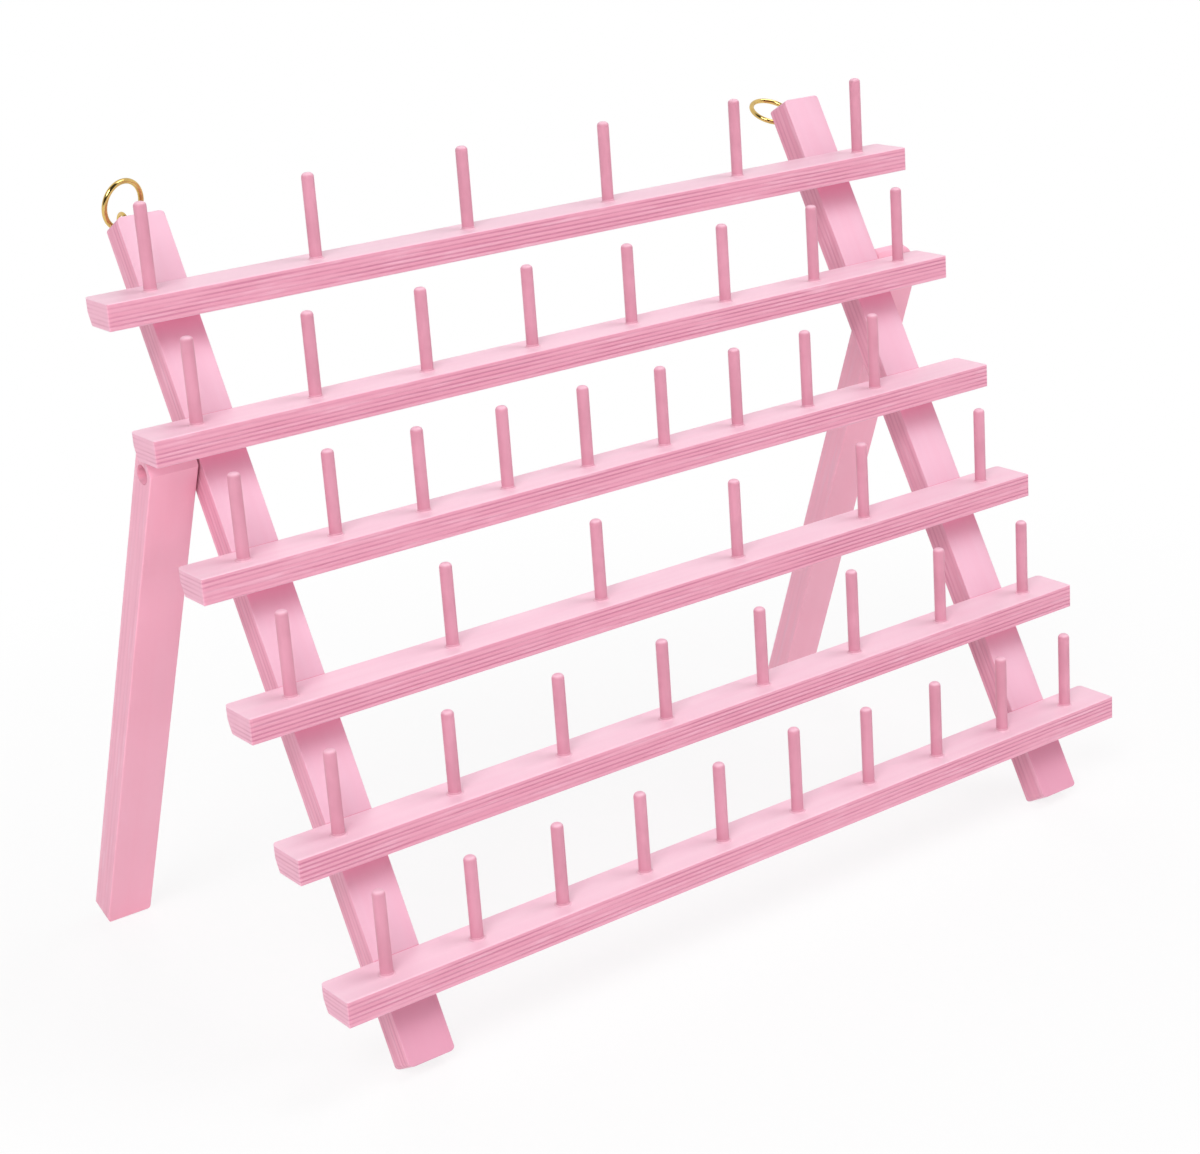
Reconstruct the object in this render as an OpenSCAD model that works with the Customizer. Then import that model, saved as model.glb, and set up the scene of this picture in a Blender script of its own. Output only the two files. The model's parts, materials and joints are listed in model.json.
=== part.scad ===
// Standing thread rack: six pegged rails on two leaning uprights, with two folding back legs
// and two hanger rings. Millimetres, Z up, standing on the plane Z = 0, front towards -Y.

/* [Rails] */
// Length of every rail
rail_len = 400; // [380:1:440]
// Width of a rail's top face, front edge to bevelled back edge
rail_w = 20.5; // [19:0.5:26]
// Thickness of a rail
rail_t = 10.5; // [9:0.5:13]
// Distance from rail to rail along the upright
rail_pitch = 53.8; // [50:0.1:56]
// Rounding of a rail's front corners seen from above
rail_nose = 0.8; // [0.4:0.1:2]
// Rounding of a rail's back corners seen from above
rail_corner = 3.5; // [1:0.5:4]

/* [Pegs] */
// Diameter of a peg
peg_d = 5; // [4:0.1:6]
// Height of a peg above its rail
peg_h = 34; // [24:0.5:40]
// Rounding of a peg's tip
peg_tip = 1.7; // [0.8:0.1:1.9]
// Depth of a peg in its rail
peg_seat = 7; // [5:0.5:8]
// Peg axis behind the rail's front edge
peg_front = 8.8; // [7:0.1:11]
// First and last peg axis from the rail's end
peg_margin = 22.1; // [16:0.1:26]
// Pegs on the first and fourth rails
pegs_few = 6; // [4:1:7]
// Pegs on the second and fifth rails
pegs_some = 8; // [7:1:9]
// Peg places on the third and sixth rails
pegs_many = 10; // [9:1:12]
// How much taller the two odd pegs stand
peg_extra = 3; // [0:0.5:6]
// Step from a peg in to its narrower seat
peg_step = 0.2; // [0.1:0.05:0.5]
// Shoulder of a peg above its rail
peg_lift = 0.3; // [0.2:0.05:0.5]
// Gap around a peg's seat in its hole
peg_fit = 0.02; // [0.01:0.01:0.05]

/* [Uprights] */
// Length of an upright
upright_len = 338.5; // [332:0.5:360]
// Width of an upright
upright_w = 20; // [18:0.5:24]
// Thickness of an upright
upright_t = 12.7; // [11:0.1:14]
// Rail standing out past the outer edge of an upright
rail_over = 23.4; // [23:0.1:40]
// Upright standing above the back edge of the top rail
upright_top = 28.2; // [22:0.1:34]
// Lean of the uprights from the vertical, degrees
lean = 26.4; // [24:0.1:32]
// Lean of the pegs from the vertical, to the back, degrees
peg_lean = -1.5; // [-4:0.1:6]
// Rounding of the boards' corners
board_corner = 2.4; // [0.8:0.1:3]
// Easing of the edges of boards and rails
ease = 0.6; // [0.2:0.1:0.8]

/* [Legs] */
// Width of a leg
leg_w = 20; // [18:0.5:23]
// Thickness of a leg
leg_t = 12.7; // [11:0.1:14]
// Lean of the opened left leg from the vertical, degrees
left_leg_lean = 26.2; // [15:0.1:30]
// Lean of the opened right leg from the vertical, degrees
right_leg_lean = 23.2; // [15:0.1:30]
// Left pivot below the back edge of the second rail, along the upright
left_pivot_drop = 15.7; // [14:0.1:20]
// Right pivot below the back edge of the second rail, along the upright
right_pivot_drop = 5.7; // [5:0.1:20]
// Flat left on a leg's bevelled top, taken off its point
leg_blunt = 3.5; // [1.2:0.1:5]
// Gap between a leg and its upright
leg_gap = 0.8; // [0.5:0.1:1.5]
// Gap between a leg and the backs of the rails
fold_gap = 0.8; // [0.7:0.1:1.2]

/* [Pivot screws] */
// Diameter of a pivot screw
pivot_d = 4; // [3:0.1:4.5]
// Running gap around a pivot screw in its leg
pivot_run = 0.08; // [0.05:0.01:0.1]
// Depth of a pivot screw in the upright
pivot_grip = 14; // [10:0.5:16]
// Diameter of the screw head
pivot_head_d = 7; // [6:0.1:7.2]
// Height of the screw head
pivot_head_h = 2.5; // [2:0.1:3]
// Width of the cross slots in the screw head
slot_w = 0.9; // [0.6:0.1:1.2]
// Depth of the cross slots
slot_deep = 1.4; // [0.8:0.1:1.6]
// Length of the cross slots
slot_long = 4.2; // [3:0.1:5]
// Diameter of the counterbore in the leg
pivot_bore_d = 8; // [7.8:0.1:8.4]
// Depth of the counterbore
pivot_bore_deep = 6; // [4:0.5:8]
// Gap under the screw head
head_gap = 0.2; // [0.1:0.05:0.4]

/* [Hangers] */
// Outside diameter of a hanger ring
ring_d = 21; // [19:0.1:26]
// Wire of a hanger ring
ring_wire = 2.2; // [1.8:0.1:2.4]
// Hole of a screw eye
eye_hole = 6; // [5:0.1:6.6]
// Wire of a screw eye
eye_wire = 1.6; // [1.2:0.1:2]
// Play of a ring in its eye
eye_play = 0.3; // [0.2:0.05:0.5]
// Left screw eye's shank below the top of the upright, at its back
left_eye_drop = 3.2; // [2.6:0.1:10]
// Right screw eye's shank below the top of the upright, at its back
right_eye_drop = 8.9; // [2.6:0.1:10]
// Rise of a screw eye's shank from the level, out of the upright, degrees
eye_rise = 25; // [15:1:30]
// Length of a screw eye's shank in the upright
eye_grip = 7; // [5:0.5:8]
// Neck of a screw eye between board and eye
eye_neck = 2.6; // [2.4:0.1:4]
// Left ring's tilt back from the vertical, degrees
left_ring_tilt = -13; // [-20:0.5:150]
// Right ring's tilt back from the vertical, degrees
right_ring_tilt = 61.5; // [-10:0.5:150]
// Left ring's turn in its eye, degrees
left_ring_turn = 16.5; // [-20:0.5:20]
// Right ring's turn in its eye, degrees
right_ring_turn = 0.5; // [-20:0.5:20]

/* [Hidden] */
$fn = 64;
over = 1;
cut_step = 0.01;
bevel = lean - peg_lean;
rail_count = 6;
peg_seat_r = peg_d / 2 - peg_step;
places = [pegs_few, pegs_some, pegs_many, pegs_few, pegs_some, pegs_many];
bare_places = [0, 0, 1, 0, 0, 0];
odd_peg = [-1, -1, -1, -1, 5, 5];
paint = [0.95, 0.62, 0.74];
brass = [0.80, 0.62, 0.28];
steel = [0.66, 0.67, 0.69];

// Places along an upright, measured up from its foot
function rail_s(i) = upright_len - upright_top - i * rail_pitch;
leg_rail = 1;
pivot_n = leg_t / 2 + fold_gap;
function pivot_s(drop) = rail_s(leg_rail) - drop;

// How much an eased edge shortens a leaning board's reach
function settle(tilt) = ease * (sin(tilt) + cos(tilt) - 1);

// Heights and depths with the uprights' back bottom edges on the floor
function at_y(n, s) = (n - upright_t) * cos(lean) + s * sin(lean);
function at_z(n, s) = (upright_t - n) * sin(lean) + s * cos(lean) - settle(lean);

// Leg between its pivot and the floor, and its bevelled top behind the second rail
function leg_below(drop, tilt) =
    (at_z(pivot_n, pivot_s(drop)) - leg_t / 2 * sin(tilt) + settle(tilt)) / cos(tilt);
function leg_top(tilt) = leg_t / 2 / tan((lean + tilt) / 2) - leg_blunt;
function leg_len(drop, tilt) = round((leg_below(drop, tilt) + leg_top(tilt)) / cut_step) * cut_step;
upright_out = rail_len / 2 - rail_over;
upright_x = upright_out - upright_w / 2;
leg_in = upright_out + leg_gap;
leg_out = leg_in + leg_w;

// Hangers
eye_out = eye_hole / 2 + eye_wire;
eye_reach = eye_neck + eye_out;
eye_n = upright_t + eye_reach * cos(lean + eye_rise);
function eye_s(drop) = upright_len - drop + eye_reach * sin(lean + eye_rise);
ring_sag = (eye_hole - ring_wire) / 2 - eye_play;
ring_arm = (ring_d - ring_wire) / 2;

// Front and back of the whole rack, to set its middle over the origin
function foot_y(drop, tilt) = at_y(pivot_n, pivot_s(drop))
    + leg_below(drop, tilt) * sin(tilt) + leg_t / 2 * cos(tilt) - settle(tilt);
function ring_y(drop, tilt, turn) = at_y(eye_n, eye_s(drop)) + ring_wire / 2
    + ring_arm * (sin(tilt) + norm([sin(tilt), sin(turn) * cos(tilt)]));
front_y = at_y(0, rail_s(rail_count - 1)) - (rail_w - ease) * cos(peg_lean) - ease
    - max(ease * sin(peg_lean), (rail_t - ease) * sin(peg_lean));
back_y = max(foot_y(left_pivot_drop, left_leg_lean), foot_y(right_pivot_drop, right_leg_lean),
    ring_y(left_eye_drop, left_ring_tilt, left_ring_turn),
    ring_y(right_eye_drop, right_ring_tilt, right_ring_turn));
depth_mid = (front_y + back_y) / 2;

// Frame of the uprights: Y through their thickness, Z up their length
module on_uprights() {
    translate([0, at_y(0, 0) - depth_mid, at_z(0, 0)])
        rotate([-lean, 0, 0])
            children();
}

// Frame of a rail: its back top edge on the uprights' front faces, Z along its pegs
module on_rail(i) {
    on_uprights()
        translate([0, 0, rail_s(i)])
            rotate([bevel, 0, 0])
                children();
}

// Frame of a leg's pivot, turned to the opened leg
module on_pivot(drop, tilt) {
    on_uprights()
        translate([0, pivot_n, pivot_s(drop)])
            rotate([lean + tilt, 0, 0])
                children();
}

// Frame of the screw eyes' holes, level with the floor
module on_eye(drop) {
    on_uprights()
        translate([0, eye_n, eye_s(drop)])
            rotate([lean, 0, 0])
                children();
}

// Lower end of a flat outline, with rounded corners
module rounded_end(wide, r) {
    translate([-wide / 2 + r, 0])
        square([wide - 2 * r, 2 * r]);
    for (x = [-wide / 2 + r, wide / 2 - r])
        translate([x, r])
            circle(r);
}

// Flat outline standing on its lower edge, its lower and upper corners rounded
module rounded_sheet(wide, tall, low_r, high_r) {
    translate([-wide / 2, low_r])
        square([wide, tall - low_r - high_r]);
    rounded_end(wide, low_r);
    translate([0, tall])
        mirror([0, 1])
            rounded_end(wide, high_r);
}

// Slab lying flat with its lower edge along X, its outline rounded and its edges eased
module slab(wide, tall, thick, low_r, high_r) {
    intersection() {
        translate([0, 0, -over])
            linear_extrude(thick + 2 * over)
                rounded_sheet(wide, tall, low_r, high_r);
        translate([0, tall + over, 0])
            rotate([90, 0, 0])
                linear_extrude(tall + 2 * over)
                    rounded_sheet(wide, thick, ease, ease);
        translate([-wide / 2 - over, tall / 2, 0])
            rotate([90, 0, 90])
                linear_extrude(wide + 2 * over)
                    rounded_sheet(tall, thick, ease, ease);
    }
}

// Board standing up, its wide face to the front and its front at Y = 0
module board(wide, tall, thick) {
    translate([0, thick, 0])
        rotate([90, 0, 0])
            slab(wide, tall, thick, board_corner, board_corner);
}

// Left upright with its holes for the pivot screw and the screw eye
module upright_piece(pivot_drop, eye_drop) {
    color(paint)
        difference() {
            on_uprights()
                difference() {
                    translate([-upright_x, 0, 0])
                        board(upright_w, upright_len, upright_t);
                    translate([-upright_out - over, pivot_n, pivot_s(pivot_drop)])
                        rotate([0, 90, 0])
                            cylinder(d = pivot_d, h = pivot_grip + over);
                }
            on_eye(eye_drop)
                translate([-upright_x, 0, 0])
                    rotate([eye_rise, 0, 0])
                        translate([0, -eye_reach - eye_grip, 0])
                            rotate([-90, 0, 0])
                                cylinder(d = eye_wire, h = eye_grip + eye_reach);
        }
}

function peg_pitch(i) = (rail_len - 2 * peg_margin) / (places[i] - 1);
function peg_x(i, k) = -rail_len / 2 + peg_margin + k * peg_pitch(i);

// Rail with a bevelled back, eased edges and a blind hole under every peg
module rail_piece(i) {
    color(paint)
        on_rail(i)
            difference() {
                translate([0, -rail_w, -rail_t])
                    slab(rail_len, rail_w, rail_t, rail_nose, rail_corner);
                rotate([-bevel, 0, 0])
                    translate([-rail_len / 2 - over, 0, -2 * rail_t])
                        cube([rail_len + 2 * over, rail_w, 3 * rail_t]);
                for (k = [0 : places[i] - bare_places[i] - 1])
                    translate([peg_x(i, k), peg_front - rail_w, -peg_seat])
                        cylinder(r = peg_seat_r + peg_fit, h = peg_seat + over);
            }
}

// One peg from the floor of its hole to its rounded tip, with a shoulder just above its rail
module peg(tall) {
    long = peg_seat + tall;
    shoulder = peg_seat + peg_lift;
    rotate_extrude()
        union() {
            square([peg_seat_r, long - peg_tip]);
            translate([0, shoulder])
                square([peg_d / 2, long - peg_tip - shoulder]);
            square([peg_d / 2 - peg_tip, long]);
            translate([peg_d / 2 - peg_tip, long - peg_tip])
                intersection() {
                    circle(peg_tip);
                    square(peg_tip);
                }
        }
}

module peg_row(i) {
    color(paint)
        on_rail(i)
            for (k = [0 : places[i] - bare_places[i] - 1])
                translate([peg_x(i, k), peg_front - rail_w, -peg_seat])
                    peg(peg_h + (k == odd_peg[i] ? peg_extra : 0));
}

// Left leg: its top bevelled to lie behind the second rail, a counterbored pivot hole through it
module leg_piece(drop, tilt) {
    color(paint)
        difference() {
            on_pivot(drop, tilt)
                difference() {
                    translate([-leg_in - leg_w / 2, -leg_t / 2, -leg_below(drop, tilt)])
                        board(leg_w, leg_len(drop, tilt), leg_t);
                    translate([-leg_out - over, 0, 0])
                        rotate([0, 90, 0])
                            cylinder(d = pivot_d + 2 * pivot_run, h = leg_w + 2 * over);
                    translate([-leg_out - over, 0, 0])
                        rotate([0, 90, 0])
                            cylinder(d = pivot_bore_d, h = pivot_bore_deep + over);
                }
            on_uprights()
                translate([-leg_out - over, fold_gap - 2 * leg_t, pivot_s(drop) - 2 * leg_t])
                    cube([leg_w + 2 * over, 2 * leg_t, 5 * leg_t]);
        }
}

// Left pivot screw: head in the leg's counterbore, shank into the upright's edge
module pivot_screw(drop, tilt) {
    seat = -leg_out + pivot_bore_deep - head_gap;
    color(steel)
        on_pivot(drop, tilt)
            translate([seat, 0, 0])
                rotate([0, 90, 0])
                    difference() {
                        union() {
                            cylinder(d = pivot_d, h = -upright_out + pivot_grip - seat);
                            translate([0, 0, -pivot_head_h])
                                cylinder(d = pivot_head_d, h = pivot_head_h);
                        }
                        for (turn = [0, 90])
                            rotate([0, 0, turn])
                                translate([-slot_long / 2, -slot_w / 2, -pivot_head_h - over])
                                    cube([slot_long, slot_w, slot_deep + over]);
                    }
}

// Left screw eye: a wire loop with its hole along X, its slanting shank in the upright's back
module screw_eye(drop) {
    color(brass)
        on_eye(drop)
            translate([-upright_x, 0, 0]) {
                rotate([0, 90, 0])
                    rotate_extrude()
                        translate([(eye_hole + eye_wire) / 2, 0])
                            circle(d = eye_wire);
                rotate([eye_rise, 0, 0])
                    translate([0, -eye_reach - eye_grip, 0])
                        rotate([-90, 0, 0])
                            cylinder(d = eye_wire, h = eye_grip + eye_neck + eye_wire / 2);
            }
}

// Hanger ring standing in its eye, tilted back from the vertical and turned in the eye
module hanger_ring(side, drop, tilt, turn) {
    color(brass)
        on_eye(drop)
            translate([side * upright_x, 0, -ring_sag])
                rotate([-tilt, 0, 0])
                    translate([0, 0, ring_arm])
                        rotate([90, 0, turn])
                            rotate_extrude()
                                translate([ring_arm, 0])
                                    circle(d = ring_wire);
}

module left_upright() { upright_piece(left_pivot_drop, left_eye_drop); }
module right_upright() { mirror([1, 0, 0]) upright_piece(right_pivot_drop, right_eye_drop); }
module rail_1() { rail_piece(0); }
module rail_2() { rail_piece(1); }
module rail_3() { rail_piece(2); }
module rail_4() { rail_piece(3); }
module rail_5() { rail_piece(4); }
module rail_6() { rail_piece(5); }
module pegs_1() { peg_row(0); }
module pegs_2() { peg_row(1); }
module pegs_3() { peg_row(2); }
module pegs_4() { peg_row(3); }
module pegs_5() { peg_row(4); }
module pegs_6() { peg_row(5); }
module left_leg() { leg_piece(left_pivot_drop, left_leg_lean); }
module right_leg() { mirror([1, 0, 0]) leg_piece(right_pivot_drop, right_leg_lean); }
module left_pivot_screw() { pivot_screw(left_pivot_drop, left_leg_lean); }
module right_pivot_screw() {
    mirror([1, 0, 0])
        pivot_screw(right_pivot_drop, right_leg_lean);
}
module left_screw_eye() { screw_eye(left_eye_drop); }
module right_screw_eye() { mirror([1, 0, 0]) screw_eye(right_eye_drop); }
module left_hanger_ring() { hanger_ring(-1, left_eye_drop, left_ring_tilt, left_ring_turn); }
module right_hanger_ring() { hanger_ring(1, right_eye_drop, right_ring_tilt, right_ring_turn); }

left_upright();
right_upright();
rail_1();
rail_2();
rail_3();
rail_4();
rail_5();
rail_6();
pegs_1();
pegs_2();
pegs_3();
pegs_4();
pegs_5();
pegs_6();
left_leg();
right_leg();
left_pivot_screw();
right_pivot_screw();
left_screw_eye();
right_screw_eye();
left_hanger_ring();
right_hanger_ring();
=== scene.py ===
import json
import math

import bmesh
import bpy
from mathutils import Matrix, Vector


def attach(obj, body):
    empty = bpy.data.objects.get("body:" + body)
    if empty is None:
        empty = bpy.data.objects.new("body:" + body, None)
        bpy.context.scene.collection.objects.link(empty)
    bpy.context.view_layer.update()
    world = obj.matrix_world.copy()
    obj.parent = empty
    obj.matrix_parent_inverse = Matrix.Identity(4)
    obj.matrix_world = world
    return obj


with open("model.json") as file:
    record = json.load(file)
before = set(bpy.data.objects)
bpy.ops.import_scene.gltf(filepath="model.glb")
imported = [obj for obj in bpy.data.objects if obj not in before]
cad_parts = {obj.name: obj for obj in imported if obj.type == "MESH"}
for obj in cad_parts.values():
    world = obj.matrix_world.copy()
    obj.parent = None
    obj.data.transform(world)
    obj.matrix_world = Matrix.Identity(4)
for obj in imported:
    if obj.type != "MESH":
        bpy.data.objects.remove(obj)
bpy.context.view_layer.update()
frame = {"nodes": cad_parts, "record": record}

nodes = frame["nodes"]
record = frame["record"]
scene = bpy.context.scene

MM = 0.001
ALONG_X = Vector((1, 0, 0))
RAILS = range(1, 7)
SIDES = ("left", "right")

# Leans of the boards, in degrees, as they stand
UPRIGHT_LEAN = 26.4
PEG_LEAN = -1.5
LEG_LEAN = {"left": 26.2, "right": 23.2}

# Sizes that the paint follows
RAIL_THICK = 10.5 * MM
RAIL_PITCH = 53.8 * MM
RAIL_STEP = RAIL_PITCH * math.cos(math.radians(UPRIGHT_LEAN - PEG_LEAN))
TOP_RAIL = 28.2 * MM
BOARD_THICK = 12.7 * MM
# Painted shade on the uprights' fronts fades out between these distances below each rail
SHADE_START = 12 * MM
SHADE_END = 34 * MM
SCREW_SEAT = 191.6 * MM
SCREW_EDGE = 0.4 * MM

# Plies of the boards, and how plainly their lines show
RAIL_PLIES = 6
BOARD_PLIES = 5
RAIL_LINES = 1.0
UPRIGHT_LINES = 0.6
LEG_LINES = {"left": 0.25, "right": 0.08}

# Paint gathered round the pegs' feet
PEG_LIFT = 0.3 * MM
FILLET_REACH = 0.9 * MM
FILLET_RISE = 1.1 * MM
FILLET_SINK = 0.4 * MM
FILLET_OVERLAP = 0.3 * MM
FILLET_STEPS = 5
FILLET_SIDES = 28
MERGE_DISTANCE = 0.001 * MM

# How strongly the ply lines and the painted shade colour the boards
LINE_SHARE = 0.75
SHADE_SHARE = 0.85
FOOT_SHADE_SHARE = 0.75

# Least roughness of each finish
PLY_ROUGH = 0.38
DOWEL_ROUGH = 0.34
BRASS_ROUGH = 0.07
STEEL_ROUGH = 0.3
PAINT_IOR = 1.5

# Depths of the finishes' relief
PLY_RELIEF = 0.3 * MM
DOWEL_RELIEF = 0.10 * MM
BRASS_RELIEF = 0.003 * MM
STEEL_RELIEF = 0.03 * MM

# Colours, linear
FACE_PINK = (0.88, 0.54, 0.66, 1)
PALE_PINK = (0.91, 0.63, 0.73, 1)
CUT_PINK = (0.81, 0.37, 0.49, 1)
DEEP_PINK = (0.73, 0.27, 0.39, 1)
LINE_PINK = (0.57, 0.17, 0.285, 1)
BOARD_PINK = (0.83, 0.455, 0.58, 1)
BOARD_PALE = (0.84, 0.52, 0.64, 1)
# Painted shade on the uprights' fronts, below the rails and on the feet
SHADED_PINK = (0.82, 0.25, 0.40, 1)
FOOT_SHADE_PINK = (0.67, 0.235, 0.355, 1)
LEG_PINK = (0.97, 0.49, 0.62, 1)
LEG_ROSE = (0.96, 0.45, 0.58, 1)
LEG_EDGE = (0.86, 0.41, 0.53, 1)
DOWEL_PINK = (0.62, 0.25, 0.34, 1)
PEG_PINK = (0.74, 0.32, 0.43, 1)
TIP_HIGHLIGHT_PINK = (0.85, 0.50, 0.61, 1)
BRASS = (0.74, 0.51, 0.17, 1)
DULL_BRASS = (0.22, 0.13, 0.03, 1)
ZINC = (0.60, 0.60, 0.62, 1)
DARK_ZINC = (0.30, 0.29, 0.29, 1)
FLOOR_GREY = (0.9, 0.9, 0.9, 1)
WHITE = (1, 1, 1, 1)

# Cut edges of each leg, plainer on the right one, whose edges take its face colours as painted light on
# its shaded side
LEG_CUTS_AND_PAINTED_LIGHT = {"left": (LEG_EDGE, CUT_PINK), "right": (LEG_PINK, LEG_ROSE)}

# Camera at the photograph's viewing angle, turned in degrees
CAMERA_PLACE = (-0.56758, -0.83102, 0.44792)
CAMERA_TURN = (73.6298, 4.1983, -38.4296)
CAMERA_LENS = 73.4894
CAMERA_SHIFT = (-0.08707, -0.05674)
SENSOR_WIDTH = 36
NEAREST_SEEN = 0.01

# Floor, white surroundings and the dark wall that gloss mirrors
FLOOR_SIZE = 20
FLOOR_ROUGH = 0.9
FLOOR_GLOW = 0.84
SHADOW_FADE = (0.2, 0.6)
ROOM_LIGHT = 0.36
MIRROR_LIGHT = 0.6
WALL_SHADE = 0.9
WALL_FADE = (0.2, 0.55)
DARK_WALL = Vector((-0.5, -0.8, 0.33)).normalized()
LAMP_TARGET = Vector((0, 0, 0.15))


class Wire:
    """A socket in a material, so that shader maths reads as plain expressions."""

    def __init__(self, socket):
        self.socket = socket
        self.tree = socket.id_data

    def node(self, kind, inputs, out=0, **settings):
        made = self.tree.nodes.new(kind)
        for name, value in settings.items():
            setattr(made, name, value)
        for name, value in inputs.items():
            if isinstance(value, Wire):
                self.tree.links.new(value.socket, made.inputs[name])
            else:
                made.inputs[name].default_value = value
        return Wire(made.outputs[out])

    def math(self, operation, *values):
        return self.node("ShaderNodeMath", dict(enumerate(values)), operation=operation)

    def __add__(self, other):
        return self.math("ADD", self, other)

    __radd__ = __add__

    def __sub__(self, other):
        return self.math("SUBTRACT", self, other)

    def __rsub__(self, other):
        return self.math("SUBTRACT", other, self)

    def __mul__(self, other):
        return self.math("MULTIPLY", self, other)

    __rmul__ = __mul__

    def __truediv__(self, other):
        return self.math("DIVIDE", self, other)

    def __mod__(self, other):
        return self.math("FLOORED_MODULO", self, other)

    def __abs__(self):
        return self.math("ABSOLUTE", self)

    def length(self):
        return self.node("ShaderNodeVectorMath", {0: self}, "Value", operation="LENGTH")

    def along(self, direction):
        return self.node("ShaderNodeVectorMath", {0: self, 1: tuple(direction)}, "Value",
                         operation="DOT_PRODUCT")

    def stretched(self, scale):
        return self.node("ShaderNodeVectorMath", {0: self, 1: tuple(scale)}, operation="MULTIPLY")

    def turned(self, *ways):
        """Coordinates measured along three directions of any length."""
        return self.node("ShaderNodeCombineXYZ", {i: self.along(way) for i, way in enumerate(ways)})

    def noise(self, scale, detail=3.0, rough=0.5):
        return self.node("ShaderNodeTexNoise", {"Vector": self, "Scale": scale, "Detail": detail,
                                                "Roughness": rough})

    def ramp(self, low, high):
        return self.node("ShaderNodeMapRange", {"Value": self, "From Min": low, "From Max": high},
                         interpolation_type="SMOOTHSTEP")

    def blend(self, first, second):
        return self.node("ShaderNodeMix", {0: self, 6: first, 7: second}, 2, data_type="RGBA")


def new_finish(name):
    """An empty material with its shader, and its object coordinates and normals as wires."""
    finish = bpy.data.materials.new(name)
    finish.use_nodes = True
    tree = finish.node_tree
    shader = tree.nodes["Principled BSDF"]
    place = tree.nodes.new("ShaderNodeTexCoord")
    return finish, shader, Wire(place.outputs["Object"]), Wire(place.outputs["Normal"])


def feed(shader, name, wire):
    shader.id_data.links.new(wire.socket, shader.inputs[name])


def bump(shader, height, depth):
    """Bump of a height from 0 to 1, depth metres deep."""
    feed(shader, "Normal", height.node("ShaderNodeBump", {"Height": height, "Distance": depth}))


def seen_by(tree, *rays):
    """1 where a ray of any of these kinds looks, and 0 elsewhere."""
    path = tree.nodes.new("ShaderNodeLightPath")
    seen = Wire(path.outputs[rays[0]])
    for ray in rays[1:]:
        seen = seen.math("MAXIMUM", seen, Wire(path.outputs[ray]))
    return seen


def rail_shade(place, normal, through, grain, rails):
    """Share and colour of the painted shade on an upright's front, below each rail and on the foot."""
    below = place.along(grain) - rails
    bay = below % RAIL_PITCH
    last = (len(RAILS) - 1) * RAIL_PITCH
    foot = below.ramp(last, last + RAIL_THICK)
    front = normal.along(through).ramp(-0.3, -0.9)
    fading = bay.ramp(SHADE_START, SHADE_END) * (1 - foot * FOOT_SHADE_SHARE)
    shaded = below.ramp(0, RAIL_THICK) * (1 - fading)
    return front * shaded * SHADE_SHARE, foot.blend(SHADED_PINK, FOOT_SHADE_PINK)


def painted_ply(name, through, grain, faces, cuts, first, thick, plies, show, step=None, rails=None):
    """Satin pink paint on plywood, the plies showing as lines where the board is cut.

    through and grain point through the plies and along the board, and first is where the plies
    start. The rails share a finish, whose plies start again at each step. On an upright, rails is
    where the top rail lies along the grain, and the front gets painted shade below each rail and on the
    foot.
    """
    finish, shader, place, normal = new_finish(name)
    across = through.cross(grain)
    depth = place.along(through) - first
    if step:
        depth = depth % step
    cut = 1 - abs(normal.along(through)).ramp(0.35, 0.8)
    end = abs(normal.along(grain)).ramp(0.5, 0.9)

    def grained(lengthwise, sideways, inward, detail, rough=0.5):
        """Noise with these many waves to the metre along, across and through the board."""
        ways = (grain * lengthwise, across * sideways, through * inward)
        return place.turned(*ways).noise(1.0, detail, rough)

    # Lines between the plies, filled with paint in places and fainter on the ends
    drift = grained(9, 20, 190, 2.0)
    ply = depth / thick * plies + (drift - 0.5) * 0.6
    inside = depth.ramp(0.05 * thick, 0.16 * thick) * depth.ramp(0.95 * thick, 0.84 * thick)
    unfilled = grained(22, 40, 200, 3.0).ramp(0.36, 0.62)
    groove = abs((ply + 0.5) % 1.0 - 0.5).ramp(0.34, 0.04)
    line = cut * groove * inside * (0.3 + unfilled * 0.7) * (1 - end * 0.4) * show

    # Wide faces, clouded and streaked along the grain
    cloud = place.noise(22.0, 4.0).ramp(0.3, 0.7)
    streak = grained(6, 160, 160, 4.0, 0.6).ramp(0.25, 0.75)
    face = (cloud * 0.5 + streak * 0.5).blend(*faces)
    # Painted shade on an upright's front, below each rail and over the foot
    if rails is not None:
        shade, shade_pink = rail_shade(place, normal, through, grain, rails)
        face = shade.blend(face, shade_pink)

    # Cut edges, deeper on every second ply, with pale fibres and paler ends
    fibres = grained(60, 900, 900, 4.0, 0.6)
    cross = ((ply * 0.5) % 1.0).ramp(0.45, 0.55) * fibres
    pale = grained(45, 500, 620, 3.0, 0.6).ramp(0.5, 0.72)
    edge = (cross * 0.5 + streak * 0.25).blend(*cuts)
    edge = (end * 0.5 + (1 - end) * pale * 0.45).blend(edge, FACE_PINK)

    orange_peel = place.noise(1400.0, 2.0)
    relief = orange_peel * 0.05 + streak * 0.08 - line * 0.4 - cut * cross * 0.12
    feed(shader, "Base Color", (line * LINE_SHARE).blend(cut.blend(face, edge), LINE_PINK))
    feed(shader, "Roughness", PLY_ROUGH + cloud * 0.08 + cut * fibres * 0.15)
    bump(shader, relief, PLY_RELIEF)
    shader.inputs["IOR"].default_value = PAINT_IOR
    return finish


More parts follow.
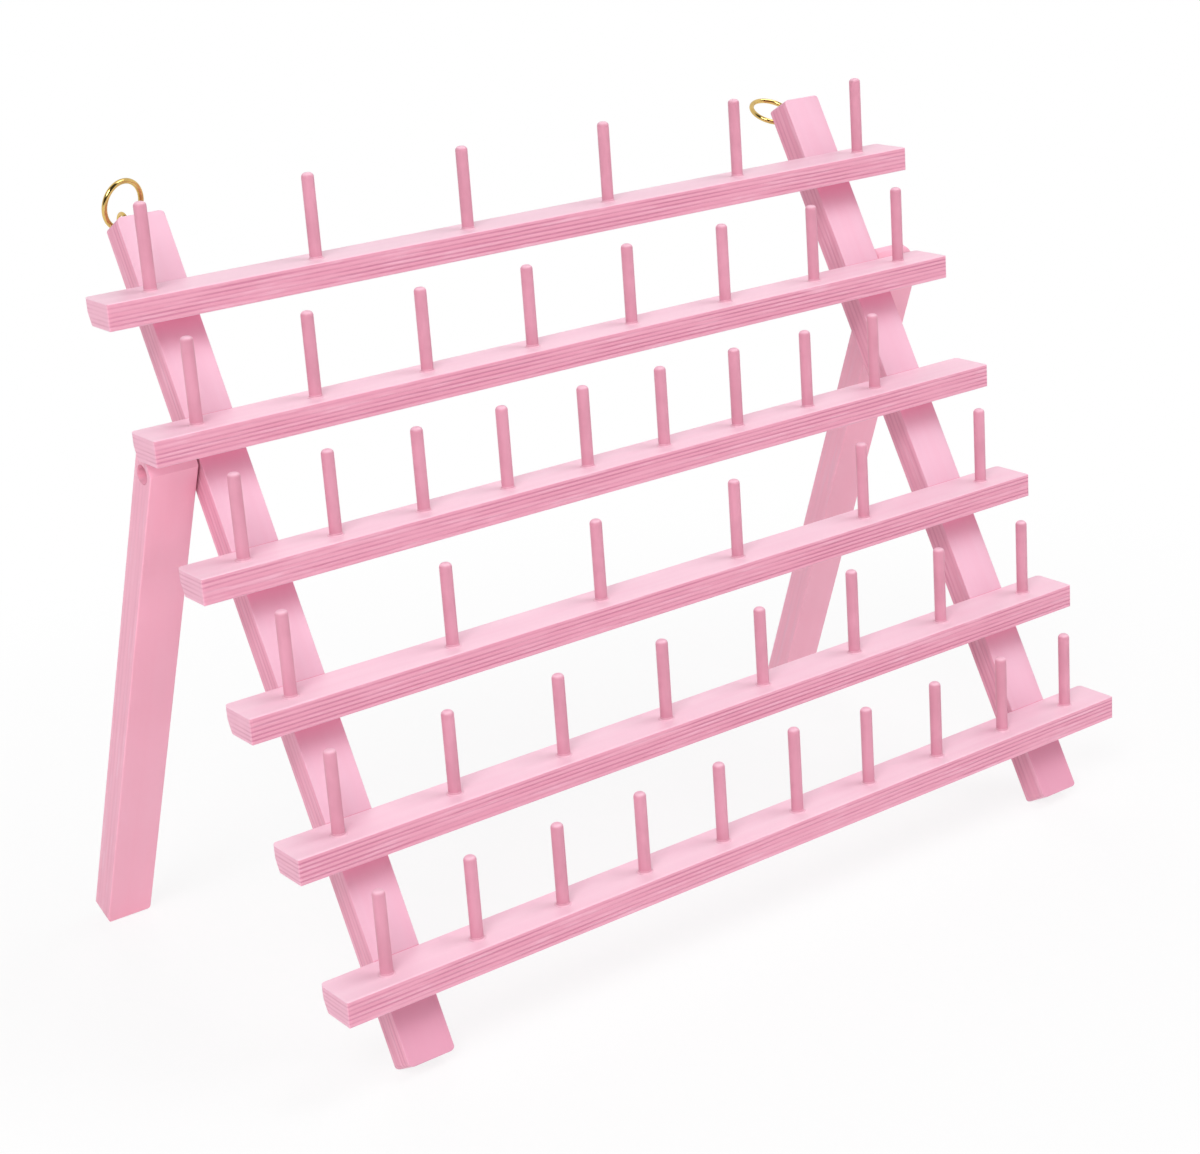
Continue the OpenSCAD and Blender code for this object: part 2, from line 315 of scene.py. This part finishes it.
def painted_dowel():
    """Satin pink paint on the pegs, a little thin along the grain, with a painted highlight on the
    up-facing tips.
    """
    finish, shader, place, normal = new_finish("painted_dowel")
    grain = place.stretched((900, 900, 30)).noise(1.0, 4.0, 0.6)
    cloud = place.noise(60.0, 3.0).ramp(0.3, 0.7)
    side = (cloud * 0.6 + grain * 0.4).blend(DOWEL_PINK, PEG_PINK)
    # Up-facing tips made paler: a painted highlight
    feed(shader, "Base Color", normal.along((0, 0, 1)).ramp(0.2, 0.85).blend(side, TIP_HIGHLIGHT_PINK))
    feed(shader, "Roughness", DOWEL_ROUGH + grain * 0.12)
    bump(shader, grain * 0.5 + place.noise(1500.0, 2.0) * 0.2, DOWEL_RELIEF)
    return finish


def polished_brass():
    """Polished brass wire, darker where it is tarnished."""
    finish, shader, place, _ = new_finish("polished_brass")
    tarnish = place.noise(130.0, 4.0).ramp(0.4, 0.75)
    drawn = place.noise(900.0, 2.0)
    feed(shader, "Base Color", (tarnish * 0.35).blend(BRASS, DULL_BRASS))
    feed(shader, "Roughness", BRASS_ROUGH + tarnish * 0.12 + drawn * 0.03)
    bump(shader, drawn, BRASS_RELIEF)
    shader.inputs["Metallic"].default_value = 1
    return finish


def pivot_steel():
    """Zinc plated steel of the pivot screws, the heads painted over in pink and darkened with painted
    shade in their counterbores.
    """
    finish, shader, place, _ = new_finish("pivot_steel")
    cloud = place.noise(500.0, 4.0).ramp(0.3, 0.7)
    lathe_marks = place.stretched((4000, 200, 200)).noise(1.0, 2.0)
    painted = abs(place.along(ALONG_X)).ramp(SCREW_SEAT - SCREW_EDGE, SCREW_SEAT)
    # Head colour: pink paint, darkened with painted shade where it sits in the counterbore
    head_paint_and_shade = cloud.blend(LINE_PINK, DEEP_PINK)
    feed(shader, "Base Color", painted.blend(cloud.blend(ZINC, DARK_ZINC), head_paint_and_shade))
    feed(shader, "Metallic", 1 - painted)
    feed(shader, "Roughness", STEEL_ROUGH + lathe_marks * 0.2)
    bump(shader, lathe_marks, STEEL_RELIEF)
    return finish


def leaned(degrees):
    """Unit vector from a board's front to its back, the board leaning back by that angle."""
    turn = math.radians(degrees)
    return Vector((0, math.cos(turn), -math.sin(turn)))


def lowest(node, direction):
    """How far a node starts along a direction."""
    return min(direction.dot(v.co) for v in nodes[node].data.vertices)


def paint(node, finish):
    slots = nodes[node].data.materials
    slots.clear()
    slots.append(finish)


def add_fillet(mesh, pin):
    """A ring of gathered paint round the foot of one peg."""
    up = Vector(pin["axis"]).normalized()
    foot = Vector(pin["pos_m"]) - up * (pin["dims"]["length_mm"] * MM / 2 + PEG_LIFT)
    radius = pin["dims"]["r_mm"] * MM
    inner = radius - FILLET_OVERLAP
    points = [(inner, -FILLET_SINK), (radius + FILLET_REACH, -FILLET_SINK)]
    for k in range(FILLET_STEPS + 1):
        turn = math.pi / 2 * k / FILLET_STEPS
        points.append((radius + FILLET_REACH * (1 - math.sin(turn)), FILLET_RISE * (1 - math.cos(turn))))
    points.append((inner, FILLET_RISE))
    ring = bmesh.new()
    rim = [ring.verts.new((x, 0, z)) for x, z in points]
    edges = [ring.edges.new(pair) for pair in zip(rim, rim[1:] + rim[:1])]
    bmesh.ops.spin(ring, geom=rim + edges, cent=(0, 0, 0), axis=(0, 0, 1), angle=math.tau,
                   steps=FILLET_SIDES, use_merge=True)
    bmesh.ops.remove_doubles(ring, verts=ring.verts, dist=MERGE_DISTANCE)
    bmesh.ops.recalc_face_normals(ring, faces=ring.faces)
    upright = Vector((0, 0, 1)).rotation_difference(up).to_matrix().to_4x4()
    ring.transform(Matrix.Translation(foot) @ upright)
    shape = bpy.data.meshes.new("fillet")
    ring.to_mesh(shape)
    ring.free()
    mesh.from_mesh(shape)
    bpy.data.meshes.remove(shape)


def paint_fillets(rail, finish):
    """The rings of gathered paint round the feet of all pegs on a rail, as one piece."""
    mesh = bmesh.new()
    for mount in record["mounts"]:
        if mount["name"].startswith("peg_%d_" % rail):
            add_fillet(mesh, mount)
    for face in mesh.faces:
        face.smooth = True
    data = bpy.data.meshes.new("peg_fillets_%d" % rail)
    mesh.to_mesh(data)
    mesh.free()
    data.materials.append(finish)
    piece = bpy.data.objects.new("peg_fillets_%d" % rail, data)
    scene.collection.objects.link(piece)
    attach(piece, "rack")


def add_camera():
    data = bpy.data.cameras.new("camera")
    data.sensor_fit = "HORIZONTAL"
    data.sensor_width = SENSOR_WIDTH
    data.lens = CAMERA_LENS
    data.shift_x, data.shift_y = CAMERA_SHIFT
    data.clip_start = NEAREST_SEEN
    camera = bpy.data.objects.new("camera", data)
    camera.location = CAMERA_PLACE
    camera.rotation_euler = tuple(math.radians(angle) for angle in CAMERA_TURN)
    scene.collection.objects.link(camera)
    scene.camera = camera


def add_floor():
    """Pale floor that looks white, and keeps a soft shadow near the rack."""
    grid = bmesh.new()
    bmesh.ops.create_grid(grid, x_segments=1, y_segments=1, size=FLOOR_SIZE / 2)
    data = bpy.data.meshes.new("floor")
    grid.to_mesh(data)
    grid.free()
    floor = bpy.data.objects.new("floor", data)
    scene.collection.objects.link(floor)
    finish, shader, place, _ = new_finish("pale_floor")
    shader.inputs["Base Color"].default_value = FLOOR_GREY
    shader.inputs["Roughness"].default_value = FLOOR_ROUGH
    shader.inputs["Specular IOR Level"].default_value = 0
    tree = finish.node_tree
    glow = Wire(tree.nodes.new("ShaderNodeEmission").outputs[0])
    seen = seen_by(tree, "Is Camera Ray", "Is Glossy Ray", "Is Transmission Ray")
    share = seen * (FLOOR_GLOW + place.length().ramp(*SHADOW_FADE) * (1 - FLOOR_GLOW))
    mixed = share.node("ShaderNodeMixShader", {0: share, 1: Wire(shader.outputs[0]), 2: glow})
    feed(tree.nodes["Material Output"], "Surface", mixed)
    data.materials.append(finish)


def add_room():
    """White surroundings, with a dark wall that only gloss mirrors."""
    world = bpy.data.worlds.new("white_room")
    world.use_nodes = True
    scene.world = world
    tree = world.node_tree
    light = tree.nodes["Background"]
    light.inputs["Color"].default_value = WHITE
    seen = seen_by(tree, "Is Camera Ray", "Is Transmission Ray")
    mirrored = seen_by(tree, "Is Glossy Ray")
    way = Wire(tree.nodes.new("ShaderNodeTexCoord").outputs["Generated"])
    wall = way.along(DARK_WALL).ramp(*WALL_FADE)
    mirror = mirrored * (MIRROR_LIGHT - wall * WALL_SHADE)
    feed(light, "Strength", ROOM_LIGHT + seen * (1 - ROOM_LIGHT) + mirror)


def add_soft_lamp(name, place, size, power, mirrored=True):
    """A square lamp that points at the rack's middle."""
    light = bpy.data.lights.new(name, "AREA")
    light.size = size
    light.energy = power
    lamp = bpy.data.objects.new(name, light)
    lamp.location = place
    lamp.rotation_euler = (LAMP_TARGET - Vector(place)).to_track_quat("-Z", "Y").to_euler()
    lamp.visible_glossy = mirrored
    scene.collection.objects.link(lamp)


# Rails and pegs
rail_turn = math.radians(PEG_LEAN)
rail_up = Vector((0, math.sin(rail_turn), math.cos(rail_turn)))
rail_finish = painted_ply("painted_rail_ply", rail_up, ALONG_X, (FACE_PINK, PALE_PINK),
                          (CUT_PINK, DEEP_PINK), lowest("rail_1", rail_up), RAIL_THICK, RAIL_PLIES,
                          RAIL_LINES, step=RAIL_STEP)
dowel_finish = painted_dowel()
for i in RAILS:
    paint("rail_%d" % i, rail_finish)
    paint("pegs_%d" % i, dowel_finish)
    paint_fillets(i, dowel_finish)

# Uprights and legs
upright_way = leaned(UPRIGHT_LEAN)
down_upright = upright_way.cross(ALONG_X)
upright_finish = painted_ply("painted_upright_ply", upright_way, down_upright, (BOARD_PINK, BOARD_PALE),
                             (CUT_PINK, DEEP_PINK), lowest("left_upright", upright_way), BOARD_THICK,
                             BOARD_PLIES, UPRIGHT_LINES,
                             rails=lowest("left_upright", down_upright) + TOP_RAIL)
for side in SIDES:
    paint(side + "_upright", upright_finish)
    leg = side + "_leg"
    leg_way = leaned(-LEG_LEAN[side])
    # Leg cut edges, the right leg's paled with painted light on its shaded side
    paint(leg, painted_ply("painted_%s_ply" % leg, leg_way, leg_way.cross(ALONG_X),
                           (LEG_PINK, LEG_ROSE), LEG_CUTS_AND_PAINTED_LIGHT[side], lowest(leg, leg_way), BOARD_THICK,
                           BOARD_PLIES, LEG_LINES[side]))

# Brass and steel
screw_finish = pivot_steel()
brass_finish = polished_brass()
for side in SIDES:
    paint(side + "_pivot_screw", screw_finish)
    paint(side + "_screw_eye", brass_finish)
    paint(side + "_hanger_ring", brass_finish)

# Camera, floor and soft studio light
add_camera()
add_floor()
add_room()
add_soft_lamp("key_lamp", (-2.0, -1.8, 2.6), 1.5, 56)
add_soft_lamp("top_lamp", (0.9, -0.7, 2.0), 1.0, 15)
add_soft_lamp("back_lamp", (0.9, 2.2, 1.3), 1.2, 14, mirrored=False)
add_soft_lamp("low_lamp", (0.1, -2.6, 0.3), 1.2, 14, mirrored=False)
add_soft_lamp("side_lamp", (-1.8, -0.3, 0.5), 1.0, 5, mirrored=False)
scene.view_settings.view_transform = "Standard"
